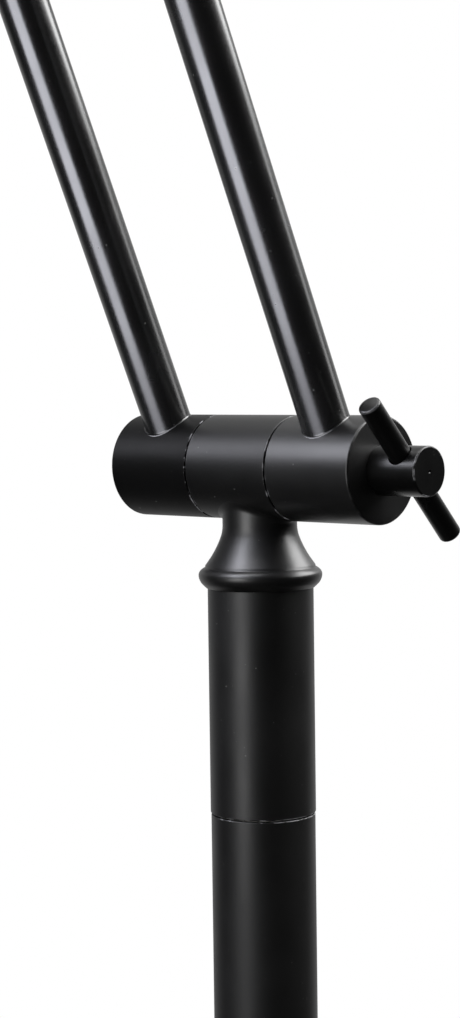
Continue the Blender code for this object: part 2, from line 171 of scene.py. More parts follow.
def mix_colour(nodes, links, factor, first, second):
    """Mix from the first, a colour or a socket, to the second, a colour."""
    node = nodes.new("ShaderNodeMix")
    node.data_type = "RGBA"
    links.new(factor, node.inputs["Factor"])
    if isinstance(first, tuple):
        node.inputs["A"].default_value = (*first, 1.0)
    else:
        links.new(first, node.inputs["A"])
    node.inputs["B"].default_value = (*second, 1.0)
    return node.outputs["Result"]


def scaled(colour, factor):
    """A lighter or darker colour."""
    return tuple(min(1.0, channel * factor) for channel in colour)


def bump(nodes, links, shader, height, distance):
    """Bump a shader by a height, as deep as the distance in metres."""
    node = nodes.new("ShaderNodeBump")
    node.inputs["Distance"].default_value = distance
    node.inputs["Strength"].default_value = 1.0
    links.new(height, node.inputs["Height"])
    links.new(node.outputs["Normal"], shader.inputs["Normal"])


def powder_coat(name, colour, roughness, grain, specular=0.5):
    """Black powder coat: orange peel of a grain in metres, uneven sheen, dust, and rubbed edges whose lighter grey
    is partly worn paint and partly a painted highlight.

    The mesh's wear and glint attribute says where edges are rubbed and carry painted glints. Over 1 it makes the
    rubbed spots larger.
    """
    material, nodes, links, shader = new_material(name)
    patches = noise(nodes, links, PATCH_SCALE, 4.0)
    fine = noise(nodes, links, GRAIN_SCALE, 2.0)
    sheen = spread(nodes, links, patches, roughness - 0.04, roughness + 0.05)
    links.new(sheen, shader.inputs["Roughness"])
    wear_and_glint = nodes.new("ShaderNodeAttribute")
    wear_and_glint.attribute_name = "wear_and_glint"
    broken = spread(nodes, links, noise(nodes, links, RUB_GLINT_SCALE, 4.0), 0.0, 1.0, *RUB_GLINT_RANGE)
    # rubbed edges: worn paint, and a painted highlight standing for the glints on the edges
    rub_glint_amount = multiply(nodes, links, wear_and_glint.outputs["Fac"], broken)
    cloud = mix_colour(nodes, links, patches, scaled(colour, 0.8), scaled(colour, 1.25))
    worn_and_glinting = mix_colour(nodes, links, rub_glint_amount, cloud, RUB_AND_GLINT)
    dust = spread(nodes, links, noise(nodes, links, DUST_SCALE, 1.0), 0.0, DUST_COVER, *DUST_RANGE)
    dusty = mix_colour(nodes, links, dust, worn_and_glinting, DUST)
    links.new(dusty, shader.inputs["Base Color"])
    shader.inputs["Specular IOR Level"].default_value = specular
    bump(nodes, links, shader, fine, grain)
    return material


def speckled(name, colour, roughness, scale, height, metallic=0.0, contrast=0.25):
    """Any surface with a fine mottled colour, uneven roughness and a bump of that scale."""
    material, nodes, links, shader = new_material(name)
    value = noise(nodes, links, scale, 5.0)
    mottled = mix_colour(nodes, links, value, scaled(colour, 1.0 - contrast), scaled(colour, 1.0 + contrast))
    links.new(mottled, shader.inputs["Base Color"])
    links.new(spread(nodes, links, value, roughness - 0.06, roughness + 0.08), shader.inputs["Roughness"])
    shader.inputs["Metallic"].default_value = metallic
    bump(nodes, links, shader, value, height)
    return material


MATERIALS = {
    "satin": powder_coat("satin_black", (0.0028, 0.0028, 0.0028), 0.39, 0.00001),
    "semi": powder_coat("semi_gloss_black", (0.005, 0.005, 0.005), 0.24, 0.000006, 1.0),
    "pole": powder_coat("pole_black", (0.0026, 0.0026, 0.0026), 0.445, 0.00001, 0.66),
    # shaded and lit copies of the satin black: the left sleeve's less specular copy stands in for shade on it, the
    # right sleeve's lighter, more specular copy for a stronger highlight
    "satin_shaded_copy": powder_coat("shaded_satin_black_copy", (0.003, 0.003, 0.003), 0.43, 0.00001, 0.13),
    "satin_lit_copy": powder_coat("lit_satin_black_copy", (0.004, 0.004, 0.004), 0.35, 0.00001, 0.75),
    "handle": powder_coat("turned_black_handle", (0.002, 0.002, 0.002), 0.28, 0.000012, 0.5),
    "neck": powder_coat("turned_black", (0.0028, 0.0028, 0.0028), 0.39, 0.000006, 1.0),
    "enamel": speckled("white_enamel", (0.80, 0.79, 0.76), 0.35, 300.0, 0.00002, contrast=0.03),
    "phenolic": speckled("black_phenolic", (0.022, 0.019, 0.017), 0.32, 500.0, 0.00001),
    "iron": speckled("cast_iron", (0.09, 0.09, 0.09), 0.65, 350.0, 0.0003, 0.7),
    "zinc": speckled("zinc_plate", (0.55, 0.56, 0.58), 0.32, 700.0, 0.00002, 1.0, 0.12),
    "brass": speckled("brass", (0.70, 0.50, 0.24), 0.28, 600.0, 0.00002, 1.0, 0.12),
    "nylon": speckled("nylon", (0.72, 0.71, 0.66), 0.45, 400.0, 0.00002, contrast=0.05),
    "felt": speckled("felt", (0.018, 0.018, 0.018), 0.90, 900.0, 0.0004, contrast=0.5),
    "glass": speckled("frosted_glass", (0.90, 0.89, 0.86), 0.28, 250.0, 0.00001, contrast=0.03),
}


# ---------------------------------------------------------------- mesh tools

def soften(corners, steps=4):
    """Round the corners of a closed outline of (x, y, rounding) or (x, y, rounding, wear and glint).

    Returns (x, y, wear and glint) points.
    """
    points = []
    count = len(corners)
    for i, (x, y, rounding, *worn_and_glinting) in enumerate(corners):
        here = Vector((x, y))
        rub_glint_amount = worn_and_glinting[0] if worn_and_glinting else 1.0
        if rounding == 0.0:
            points.append((x, y, 0.0))
            continue
        before = Vector(corners[i - 1][:2])
        after = Vector(corners[(i + 1) % count][:2])
        start = here + (before - here).normalized() * rounding
        end = here + (after - here).normalized() * rounding
        for k in range(steps + 1):
            t = k / steps
            point = start * (1 - t) ** 2 + here * (2 * t * (1 - t)) + end * t ** 2
            points.append((point.x, point.y, rub_glint_amount if 0 < k < steps else 0.0))
    return points


def spline(points, steps=4):
    """Smooth curve through (x, y) points, as (x, y, wear and glint) points."""
    out = []
    for i in range(len(points) - 1):
        a, b = Vector(points[max(i - 1, 0)]), Vector(points[i])
        c, d = Vector(points[i + 1]), Vector(points[min(i + 2, len(points) - 1)])
        for k in range(steps):
            t = k / steps
            p = 0.5 * (2 * b + (c - a) * t + (2 * a - 5 * b + 4 * c - d) * t * t
                       + (3 * b - a - 3 * c + d) * t ** 3)
            out.append((p.x, p.y, 0.0))
    out.append((*points[-1], 0.0))
    return out


def lathe(points, segments=96, lay_on_x=False, shape=None):
    """Spin (radius, height, wear and glint) points about Z, or about X with heights along X.

    shape(angle, radius, height) may change the radius, for flutes and threads.
    """
    bm = bmesh.new()
    wear_and_glint = bm.verts.layers.float.new("wear_and_glint")
    rings = []
    for radius, height, worn_and_glinting in points:
        count = 1 if radius == 0.0 else segments
        ring = []
        for i in range(count):
            angle = 2.0 * math.pi * i / segments
            reach = shape(angle, radius, height) if shape else radius
            x, y, z = reach * math.cos(angle), reach * math.sin(angle), height
            vert = bm.verts.new(Vector((z, x, y) if lay_on_x else (x, y, z)) * MM)
            vert[wear_and_glint] = worn_and_glinting
            ring.append(vert)
        rings.append(ring)
    closed = rings if points[0][0] == 0.0 and points[-1][0] == 0.0 else rings + [rings[0]]
    for first, second in zip(closed, closed[1:]):
        join_rings(bm, first, second, segments)
    bmesh.ops.recalc_face_normals(bm, faces=bm.faces)
    return bm


def join_rings(bm, first, second, segments):
    """Faces between two rings, either of which may be a single point on the axis."""
    if len(first) == 1 and len(second) == 1:
        return
    for i in range(segments):
        j = (i + 1) % segments
        if len(first) == 1:
            bm.faces.new((first[0], second[j], second[i]))
        elif len(second) == 1:
            bm.faces.new((first[i], first[j], second[0]))
        else:
            bm.faces.new((first[i], first[j], second[j], second[i]))


SMOOTH_BELOW = math.radians(38.0)       # an edge with a larger angle stays sharp


def piece(name, bm, matrix, material, body, nodes=(), extra=()):
    """Make the object, smooth it, and let it ride on its body in place of its CAD nodes."""
    bmesh.ops.transform(bm, matrix=matrix, verts=bm.verts)
    mesh = bpy.data.meshes.new(name)
    bm.to_mesh(mesh)
    bm.free()
    mesh.shade_smooth()
    mesh.set_sharp_from_angle(angle=SMOOTH_BELOW)
    mesh.materials.append(MATERIALS[material])
    for other in extra:
        mesh.materials.append(MATERIALS[other])
    thing = bpy.data.objects.new(name, mesh)
    bpy.context.scene.collection.objects.link(thing)
    weighted = thing.modifiers.new("weighted", "WEIGHTED_NORMAL")
    weighted.keep_sharp = True
    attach(thing, body)
    if nodes:
        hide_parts(*nodes)
    return thing


TUBE_EDGE = 0.25              # rounding of a tube's outer edges


def tube(radius, low, high, wall, top_rub_glint=1.0):
    """Outline of a tube with lightly rounded outer edges."""
    bore = radius - wall
    return soften([(bore, low, 0.0), (radius, low, TUBE_EDGE), (radius, high, TUBE_EDGE, top_rub_glint),
                   (bore, high, 0.0)])


def drill(radius, low, high, segments=48, lay_on_x=False):
    """A plain round cutter."""
    outline = [(0.0, low, 0.0), (radius, low, 0.0), (radius, high, 0.0), (0.0, high, 0.0)]
    return lathe(outline, segments, lay_on_x)


def arc(centre, radius, start, end, steps):
    """Points of an arc in the (x, y) plane, angles in degrees, as (x, y, wear and glint) points."""
    points = []
    for i in range(steps + 1):
        angle = math.radians(start + (end - start) * i / steps)
        points.append((centre[0] + radius * math.cos(angle), centre[1] + radius * math.sin(angle), 0.0))
    return points


def thread(radius, depth, pitch, low, high):
    """Shape of a screw thread cut into a radius between two heights."""
    def shape(angle, reach, height):
        if abs(reach - radius) > 0.01 or not low < height < high:
            return reach
        turn = (height / pitch - angle / (2.0 * math.pi)) % 1.0
        return reach - depth * abs(2.0 * turn - 1.0)
    return shape


def flutes(count, depth, inside, low, high):
    """Shape of grip flutes cut into everything beyond a radius, between two heights."""
    def shape(angle, reach, height):
        if reach < inside or not low < height < high:
            return reach
        return reach - depth * max(0.0, math.cos(count * angle)) ** 1.5
    return shape


# ---------------------------------------------------------------- barrel joints

SEAM_RIM = (0.28, 1.0)        # rounding and wear of the rims that face a seam; the wear's grey also paints their highlight
RUB_GLINT_RIM = (0.28, 2.5)      # the left sleeve's, which rubs most; its larger rubbed spots also paint the light line along the seam
OUTER_RIM = (0.55, 0.1)
FOOT_DEPTH = 1.2              # how far a stem's fillet starts inside the barrel
FOOT_OVERLAP = 0.03           # how far the fillet's edge lies under the barrel's surface
FOOT_STEPS = 6


def make_segment(node, low, high, matrix, material, body, rims):
    """One segment of a barrel: a short cylinder with two rims of (rounding, wear and painted glint)."""
    corners = [(0.0, low, 0.0), (BARREL_R, low, *rims[0]), (BARREL_R, high, *rims[1]), (0.0, high, 0.0)]
    bm = lathe(soften(corners), 128, lay_on_x=True)
    piece("fine_" + node, bm, matrix, material, body, [node])


def saddle_ring(bm, layer, radius, above, segments):
    """A ring of a given radius about Z that follows the barrel (axis X), this far above its surface."""
    ring = []
    for i in range(segments):
        angle = 2.0 * math.pi * i / segments
        x, y = radius * math.cos(angle), radius * math.sin(angle)
        height = math.sqrt(BARREL_R ** 2 - y ** 2) + above
        vert = bm.verts.new(Vector((x, y, height)) * MM)
        vert[layer] = 0.0
        ring.append(vert)
    return ring


def saddle_foot(bm, layer, radius, fillet, segments):
    """Rings of a fillet between a round stem on Z and the barrel, from inside the barrel outwards."""
    rings = [saddle_ring(bm, layer, radius + fillet, -FOOT_DEPTH, segments)]
    for k in range(FOOT_STEPS + 1):
        t = k / FOOT_STEPS
        beyond = fillet * (1 - t) ** 2
        rise = fillet * t ** 2
        rings.append(saddle_ring(bm, layer, radius + beyond, rise - FOOT_OVERLAP, segments))
    return rings


def flat_ring(bm, layer, radius, height, segments):
    """A level ring about Z."""
    ring = []
    for i in range(segments):
        angle = 2.0 * math.pi * i / segments
        vert = bm.verts.new(Vector((radius * math.cos(angle), radius * math.sin(angle), height)) * MM)
        vert[layer] = 0.0
        ring.append(vert)
    return ring


def skin_rings(bm, rings, segments):
    """A closed skin over a stack of rings."""
    for first, second in zip(rings, rings[1:]):
        join_rings(bm, first, second, segments)
    bm.faces.new(rings[0])
    bm.faces.new(rings[-1])
    bmesh.ops.recalc_face_normals(bm, faces=bm.faces)


NECK_R = 9.05
NECK_FILLET = 1.4
SPIGOT_R = 11.2               # the spigot under the bead, inside the tube
SPIGOT_END = 42.0
NECK_FLARE = [(NECK_R, 14.25), (9.12, 15.0), (9.33, 16.1), (9.7, 17.2), (10.2, 18.4), (10.95, 19.9),
              (11.75, 21.3), (12.7, 22.7), (13.35, 23.6)]
NECK_GROOVE = [(13.42, 24.05, 0.0), (13.55, 24.2, 0.0)]
NECK_BEAD = [(13.75, 24.25), (14.45, 24.75), (14.9, 25.4), (15.0, 26.1), (14.85, 26.9), (14.4, 27.8),
             (13.75, 28.5), (13.1, BEAD_BOTTOM)]


def make_neck(name, matrix, body):
    """Turned neck: fillet at the barrel, concave flare, a fine groove, a bead, and a spigot."""
    segments = 112
    bm = bmesh.new()
    layer = bm.verts.layers.float.new("wear_and_glint")
    rings = saddle_foot(bm, layer, NECK_R, NECK_FILLET, segments)
    profile = spline(NECK_FLARE) + NECK_GROOVE + spline(NECK_BEAD)
    profile += [(SPIGOT_R + 1.0, BEAD_BOTTOM, 0.0), (SPIGOT_R, BEAD_BOTTOM + 0.1, 0.0),
                (SPIGOT_R, SPIGOT_END, 0.0)]
    rings += [flat_ring(bm, layer, radius, height, segments) for radius, height, _ in profile]
    skin_rings(bm, rings, segments)
    return piece(name, bm, matrix, "neck", body)


ROD_FILLET = 0.5
ROD_ROUND_FROM = 16.0         # a rod's rings are level beyond this height over each barrel's axis
ROD_STEPS = 12


def make_rods():
    """The two rods, each with a small fillet where it meets its sleeves."""
    segments = 64
    rods = []
    for side, sign in (("left", -1.0), ("right", 1.0)):
        bm = bmesh.new()
        layer = bm.verts.layers.float.new("wear_and_glint")
        low = saddle_foot(bm, layer, ROD_R, ROD_FILLET, segments)
        high = saddle_foot(bm, layer, ROD_R, ROD_FILLET, segments)
        for ring in high:
            for vert in ring:
                vert.co.z = SPAN * MM - vert.co.z
        middle = []
        for i in range(ROD_STEPS + 1):
            height = ROD_ROUND_FROM + (SPAN - 2.0 * ROD_ROUND_FROM) * i / ROD_STEPS
            middle.append(flat_ring(bm, layer, ROD_R, height, segments))
        skin_rings(bm, low + middle + list(reversed(high)), segments)
        shift = Matrix.Translation(X_AXIS * sign * ROD_X * MM)
        rods.append(piece("fine_rod_" + side, bm, AT_ARM @ shift, "semi", "arm", ["rod_" + side]))
    return rods


def cut(thing, cutter_bm, matrix):
    """Cut a bmesh out of an object's mesh for good. Its other modifiers stay on it."""
    bmesh.ops.transform(cutter_bm, matrix=matrix, verts=cutter_bm.verts)
    mesh = bpy.data.meshes.new("cutter")
    cutter_bm.to_mesh(mesh)
    cutter_bm.free()
    cutter = bpy.data.objects.new("cutter", mesh)
    bpy.context.scene.collection.objects.link(cutter)
    others = list(thing.modifiers)
    for other in others:
        other.show_viewport = False
    modifier = thing.modifiers.new("cut", "BOOLEAN")
    modifier.object = cutter
    modifier.solver = "EXACT"
    bpy.context.view_layer.update()
    graph = bpy.context.evaluated_depsgraph_get()
    graph.update()
    result = bpy.data.meshes.new_from_object(thing.evaluated_get(graph))
    thing.modifiers.remove(modifier)
    for other in thing.modifiers:
        other.show_viewport = True
    thing.data = result
    bpy.data.objects.remove(cutter)


SCREW_HEAD_START = SLEEVE_HIGH - 1.0    # just inside the right sleeve
BAR_GAP = 0.3                 # between the tommy bar and its hole
BAR_HOLE_HALF = 9.0           # longer than the head's radius
CENTRE_MARK = (0.4, 0.35)     # radius and depth of the lathe-centre mark


def make_handle(prefix, centre, lean, body):
    """Clamp screw with its round head and lathe-centre mark, and the tommy bar through it."""
    matrix = place(centre, Vector((0.0, -math.sin(lean), math.cos(lean))))
    radius = extent(prefix + "_clamp_screw", 2) / 2.0
    mark_radius, mark_depth = CENTRE_MARK
    corners = [(0.0, -SCREW_REACH, 0.0), (SCREW_SHAFT_R, -SCREW_REACH, 0.0),
               (SCREW_SHAFT_R, SCREW_HEAD_START, 0.0), (radius, SCREW_HEAD_START, 0.0),
               (radius, SCREW_END, 0.45, 0.9), (mark_radius, SCREW_END, 0.0),
               (0.0, SCREW_END - mark_depth, 0.0)]
    screw = piece("fine_" + prefix + "_clamp_screw", lathe(soften(corners), lay_on_x=True), matrix, "handle",
                  body, [prefix + "_clamp_screw"])
    spot = Matrix.Translation(X_AXIS * BAR_X * MM)
    cut(screw, drill(BAR_R + BAR_GAP, -BAR_HOLE_HALF, BAR_HOLE_HALF), matrix @ spot)
    bar = [(0.0, -BAR_HALF, 0.0), (BAR_R, -BAR_HALF, 0.6, 0.3), (BAR_R, BAR_HALF, 0.6, 0.3),
           (0.0, BAR_HALF, 0.0)]
    piece("fine_" + prefix + "_tommy_bar", lathe(soften(bar), 64), matrix @ spot, "handle", body,
          [prefix + "_tommy_bar"])


def make_barrel(prefix, knuckle_matrix, sleeve_matrix, knuckle_body):
    """The three segments of a barrel, and the neck of the middle one, which it returns."""
    make_segment(prefix + "_knuckle", -KNUCKLE_HALF, KNUCKLE_HALF, knuckle_matrix, "satin", knuckle_body,
                 [SEAM_RIM, SEAM_RIM])
    # the left sleeve takes the shaded copy of the satin black, and the right sleeve the lit copy
    make_segment(prefix + "_sleeve_left", -SLEEVE_HIGH, -SLEEVE_LOW, sleeve_matrix, "satin_shaded_copy", "arm",
                 [OUTER_RIM, RUB_GLINT_RIM])
    make_segment(prefix + "_sleeve_right", SLEEVE_LOW, SLEEVE_HIGH, sleeve_matrix, "satin_lit_copy", "arm",
                 [SEAM_RIM, OUTER_RIM])
    return make_neck("fine_" + prefix + "_neck", knuckle_matrix, knuckle_body)


# ---------------------------------------------------------------- base and column

def heights(node):
    """Lowest and highest point of a node, in mm above the floor."""
    low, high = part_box(node)
    return low.z / MM, high.z / MM


def reaches(node):
    """Nearest and farthest point of a node from the upper barrel, in mm along the head's axis."""
    low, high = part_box(node)
    return (UPPER.y - high.y) / MM, (UPPER.y - low.y) / MM


COVER_WALL = 1.5
COVER_BEND = 8.0              # radius of the shoulder
COVER_BEND_END = 88.0         # degrees round it, where the cone begins
CONE_RISE = 3.0               # from the shoulder's top to the middle
COVER_HOLE_R = 5.3
INLET_R = 5.0                 # the cord bushing's hole in the rim
INLET_DEPTH = 5.0             # from the bushing's outer end to its flange


def make_cover():
    """Spun cover of the base: rolled rim, round shoulder, shallow cone and a small step in the middle."""
    rim, top = heights("base_cover")
    radius = extent("base_cover", 0) / 2.0
    inner = radius - COVER_WALL
    centre = (radius - COVER_BEND, top - COVER_BEND - CONE_RISE)
    points = [(inner, rim + 0.9, 0.0), (inner + 0.1, rim + 0.3, 0.5), (inner + 0.7, rim, 1.0),
              (radius - 0.2, rim + 0.3, 0.6), (radius, rim + 0.9, 0.0), (radius, rim + 6.0, 0.0)]
    points += arc(centre, COVER_BEND, 0.0, COVER_BEND_END, 18)
    points += [(100.0, top - 2.2, 0.0), (60.0, top - 1.0, 0.0), (32.0, top - 0.5, 0.0),
               (31.6, top - 0.45, 0.0), (31.2, top - 0.15, 0.8), (30.6, top, 0.0), (COVER_HOLE_R, top, 0.0),
               (COVER_HOLE_R, top - COVER_WALL, 0.0), (30.0, top - COVER_WALL, 0.0),
               (60.0, top - COVER_WALL - 1.0, 0.0)]
    points += arc(centre, COVER_BEND - COVER_WALL, COVER_BEND_END, 0.0, 10)
    cover = piece("fine_base_cover", lathe(points, 160), AT_FLOOR, "satin", "base", ["base_cover"])
    low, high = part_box("cord_bushing")
    inlet = Vector((0.0, low.y + INLET_DEPTH * MM, (low.z + high.z) / 2.0))
    matrix = place(inlet, Vector((0.0, 1.0, 0.0)))
    cut(cover, drill(INLET_R, -20.0, 12.0), matrix)
    corners = [(3.2, -INLET_DEPTH, 0.0), (4.7, -INLET_DEPTH, 0.2), (4.7, 0.6, 0.0), (6.6, 0.6, 0.2),
               (6.3, 2.2, 0.5), (4.4, 3.0, 0.3), (3.2, 2.8, 0.3)]
    piece("fine_cord_bushing", lathe(soften(corners), 64), matrix, "phenolic", "base", ["cord_bushing"])


def make_pad():
    """Felt pad under the base."""
    low, high = heights("floor_pad")
    radius = extent("floor_pad", 0) / 2.0
    corners = [(0.0, low, 0.0), (radius, low, 0.5), (radius, high, 0.5), (0.0, high, 0.0)]
    piece("fine_floor_pad", lathe(soften(corners), 160), AT_FLOOR, "felt", "base", ["floor_pad"])


COLLAR_FLARE = 8.4            # from the collar's foot in to its neck


def make_collar():
    """Turned collar round the pole's foot."""
    low, high = heights("pole_collar")
    radius = extent("pole_collar", 0) / 2.0
    neck = radius - COLLAR_FLARE
    points = [(POLE_R, low, 0.0), (radius - 0.3, low, 0.0), (radius, low + 0.3, 0.8),
              (radius, low + 1.7, 0.0), (radius - 0.25, low + 2.1, 1.0)]
    points += spline([(radius - 0.8, low + 2.4), (radius - 3.1, low + 3.9), (radius - 6.3, low + 6.9),
                      (radius - 8.1, low + 10.2), (neck, low + 12.4)], 7)
    points += [(neck - 0.4, low + 12.6, 0.0), (neck - 0.4, low + 12.9, 0.0), (neck, low + 13.1, 0.6),
               (neck, high - 1.1, 0.0), (neck - 0.35, high - 0.35, 0.8), (neck - 1.1, high, 0.0),
               (POLE_R, high, 0.0)]
    piece("fine_pole_collar", lathe(points, 128), AT_FLOOR, "satin", "base", ["pole_collar"])


POLE_TOP_RUB_GLINT = 2.5           # the pole's top edge rubs under the turning sleeve; the larger rubbed spots also paint the thin light line at the seam, a painted highlight
BEAD_OVERLAP = 0.1            # how far a tube's end reaches into a neck's bead


def make_column():
    """Pole, and the sleeve that turns on it and reaches up to the neck's bead."""
    low, high = heights("pole_tube")
    piece("fine_pole", lathe(tube(POLE_R, low, high, POLE_WALL, POLE_TOP_RUB_GLINT), 128), AT_FLOOR, "pole",
          "base", ["pole_tube"])
    low = heights("swivel_sleeve")[0]
    high = ELBOW.z / MM - BEAD_BOTTOM + BEAD_OVERLAP
    piece("fine_swivel_sleeve", lathe(tube(TUBE_R, low, high, TUBE_WALL, 0.0), 128), AT_FLOOR, "pole",
          "column_head", ["swivel_sleeve"])


# ---------------------------------------------------------------- head and shade

def make_stem():
    """Stem between the upper neck and the cap."""
    low = BEAD_BOTTOM - BEAD_OVERLAP
    high = reaches("head_stem")[1]
    piece("fine_head_stem", lathe(tube(TUBE_R, low, high, TUBE_WALL), 128), AT_HEAD, "pole", "head",
          ["head_stem"])


CAP_HOLE_R = 6.3              # for the stem's spigot
CAP_WALL = 2.0
CAP_END_WALL = 3.3
SHAFT_HOLE_R = 3.1


def make_cap():
    """Round-shouldered cap behind the shade, with a fine groove and the hole of the switch's shaft."""
    low, high = reaches("switch_cap")
    radius = extent("switch_cap", 0) / 2.0
    points = [(CAP_HOLE_R, low, 0.0), (TUBE_R - 0.25, low, 0.0), (TUBE_R, low + 0.1, 0.8)]
    points += spline([(radius - 5.8, low + 0.35), (radius - 3.4, low + 1.7), (radius - 1.3, low + 3.6),
                      (radius - 0.3, low + 5.6), (radius, low + 7.8)], 6)
    points += [(radius, high - 6.5, 0.0), (radius - 0.35, high - 6.3, 0.0), (radius - 0.35, high - 5.9, 0.0),
               (radius, high - 5.7, 0.6), (radius, high - 0.6, 0.0), (radius - 0.2, high - 0.15, 1.0),
               (radius - 0.6, high, 0.0), (radius - CAP_WALL, high, 0.0),
               (radius - CAP_WALL, low + 7.0, 0.0), (radius - 4.6, low + CAP_END_WALL, 0.0),
               (CAP_HOLE_R, low + CAP_END_WALL, 0.0)]
    cap = piece("fine_switch_cap", lathe(points, 128), AT_HEAD, "satin", "lamp_head", ["switch_cap"])
    cut(cap, drill(SHAFT_HOLE_R, 10.0, 30.0, lay_on_x=True), Matrix.Translation(KNOB))


SHAFT_R = 2.8
SHAFT_START = 8.0             # inside the cap, from the head's axis
KNOB_HEIGHT = 12.0
GRIP_HEIGHT = 9.4             # of the fluted part, above the skirt
GRIP_STEPS = 9
KNOB_FLUTES = (20, 0.45)      # count and depth
POINTER = (0.4, 0.8, 3.6)     # the ridge's thickness, width and length
POINTER_UP = 2.2              # its middle, from the knob's axis
POINTER_BEVEL = 0.12


def make_knob():
    """Fluted knob with a smooth skirt, and a pointer ridge on its face."""
    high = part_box("switch_knob")[1].x / MM
    radius = extent("switch_knob", 2) / 2.0
    face = high - 0.25
    back, grip = high - KNOB_HEIGHT, high - GRIP_HEIGHT
    points = [(0.0, SHAFT_START, 0.0), (SHAFT_R, SHAFT_START, 0.0), (SHAFT_R, back, 0.0)]
    points += soften([(radius - 0.3, back, 0.25), (radius, high - 9.8, 0.5)])
    for i in range(GRIP_STEPS + 1):
        points.append((radius - 0.25 - 0.035 * i, grip + 0.86 * i, 0.0))
    points += [(radius - 0.85, face - 0.2, 0.6), (radius - 1.2, face, 0.0), (0.0, face, 0.0)]
    shape = flutes(*KNOB_FLUTES, radius - 0.8, high - 9.3, face - 0.3)
    bm = lathe(points, 160, lay_on_x=True, shape=shape)
    ridge = bmesh.ops.create_cube(bm, size=1.0)["verts"]
    bmesh.ops.scale(bm, verts=ridge, vec=[side * MM for side in POINTER])
    bmesh.ops.translate(bm, verts=ridge, vec=((high - POINTER[0] / 2.0) * MM, 0.0, POINTER_UP * MM))
    edges = list({edge for vert in ridge for edge in vert.link_edges})
    bmesh.ops.bevel(bm, geom=edges, offset=POINTER_BEVEL * MM, segments=2, affect="EDGES")
    piece("fine_switch_knob", bm, Matrix.Translation(KNOB), "phenolic", "switch", ["switch_knob"])


SKIRT_R = 17.0                # the holder's threaded skirt
SOCKET_R = 13.9
WIRE_HOLE_R = 3.5
THREAD_DEPTH = 0.45
THREAD_PITCH = 1.6
THREAD_LENGTH = 12.0
THREAD_STEPS = 48
RING_NOTCHES = (27, 0.7)      # count and depth


def make_holder():
    """Phenolic holder with its threaded skirt, and the notched ring that clamps the shade to it."""
    low, high = reaches("lamp_holder")
    flange = extent("lamp_holder", 0) / 2.0
    wall = low + 3.7
    floor = wall + 1.0
    outline = soften([(WIRE_HOLE_R, low, 0.0), (flange, low, 0.4), (flange, wall, 0.4),
                      (SKIRT_R, wall, 0.0)])
    for i in range(THREAD_STEPS):
        outline.append((SKIRT_R, wall + 0.5 + THREAD_LENGTH * i / THREAD_STEPS, 0.0))
    outline += soften([(SKIRT_R, high, 0.6), (SOCKET_R, high, 0.4), (SOCKET_R, floor, 0.0),
                       (WIRE_HOLE_R, floor, 0.0)])
    shape = thread(SKIRT_R, THREAD_DEPTH, THREAD_PITCH, wall + 0.6, wall + THREAD_LENGTH)
    piece("fine_lamp_holder", lathe(outline, shape=shape), AT_HEAD, "phenolic", "lamp_head",
          ["lamp_holder"])
    low, high = reaches("shade_ring")
    radius = extent("shade_ring", 0) / 2.0
    bore = SKIRT_R + 0.2
    ring = soften([(bore, low, 0.0), (radius, low, 0.5), (radius, high, 0.5), (bore, high, 0.3)])
    shape = flutes(*RING_NOTCHES, radius - 0.6, low - 1.0, high + 1.0)
    piece("fine_shade_ring", lathe(ring, 216, shape=shape), AT_HEAD, "phenolic", "lamp_head",
          ["shade_ring"])


BULB_WALL = 1.0


def make_bulb():
    """Frosted tubular bulb, open at its neck inside the cap."""
    low, high = reaches("bulb_glass")
    radius = extent("bulb_glass", 0) / 2.0
    inner = radius - BULB_WALL
    centre = (0.0, high - radius)
    neck = [(radius - 3.4, low), (radius - 3.1, low + 2.0), (radius - 2.5, low + 4.4),
            (radius - 1.2, low + 7.4), (radius - 0.3, low + 10.6), (radius, low + 14.0)]
    outside = spline(neck, 5) + arc(centre, radius, 0.0, 90.0, 20)[:-1] + [(0.0, high, 0.0)]
    inside = [(reach - BULB_WALL, height, 0.0) for reach, height, _ in spline(neck, 2)]
    inside += arc(centre, inner, 0.0, 90.0, 10)[:-1] + [(0.0, high - BULB_WALL, 0.0)]
    piece("fine_bulb_glass", lathe(list(reversed(outside)) + inside), AT_HEAD, "glass", "lamp_head",
          ["bulb_glass"])


SHADE_EDGE = 9.0              # rounding of the end walls
SHADE_SIDE = 8.0              # straight part of the sides
SHADE_WALL = 1.2
SHADE_HOLE_R = 17.3           # in the rear wall, round the holder's skirt
ACROSS = 56                   # steps over the arch
ROUND = 9                     # steps in the rounding of each end wall
MIDDLE_STATIONS = (40.0, 80.0, 120.0, 160.0)    # along the straight part, from the rear wall


def shade_stations(depth, start, end):
    """(place along the axis, inset from the sides) from one end wall to the other."""
    rounding = SHADE_EDGE - depth
    near = []
    for i in range(ROUND + 1):
        angle = math.pi / 2.0 * i / ROUND
        near.append((rounding * (1.0 - math.cos(angle)), rounding * (1.0 - math.sin(angle))))
    rear = [(start + depth + along, inset) for along, inset in near]
    middle = [(start + along, 0.0) for along in MIDDLE_STATIONS]
    front = [(end - depth - along, inset) for along, inset in reversed(near)]
    return rear + middle + front


def shade_skin(bm, depth, half, rim, lift, start, end):
    """Skin of the trough at a depth inside its outer surface, its rim lift mm up. Returns its sections."""
    sections = []
    spring = rim + SHADE_SIDE
    for along, inset in shade_stations(depth, start, end):
        width = half - depth - inset
        outline = [(width, rim + lift)]
        for i in range(ACROSS + 1):
            angle = math.pi * i / ACROSS
            outline.append((width * math.cos(angle), spring + width * math.sin(angle)))
        outline.append((-width, rim + lift))
        sections.append([bm.verts.new(Vector((x, y, along)) * MM) for x, y in outline])
    for first, second in zip(sections, sections[1:]):
        for i in range(len(first) - 1):
            bm.faces.new((first[i], first[i + 1], second[i + 1], second[i]))
    bm.faces.new(sections[0])
    bm.faces.new(sections[-1])
    return sections


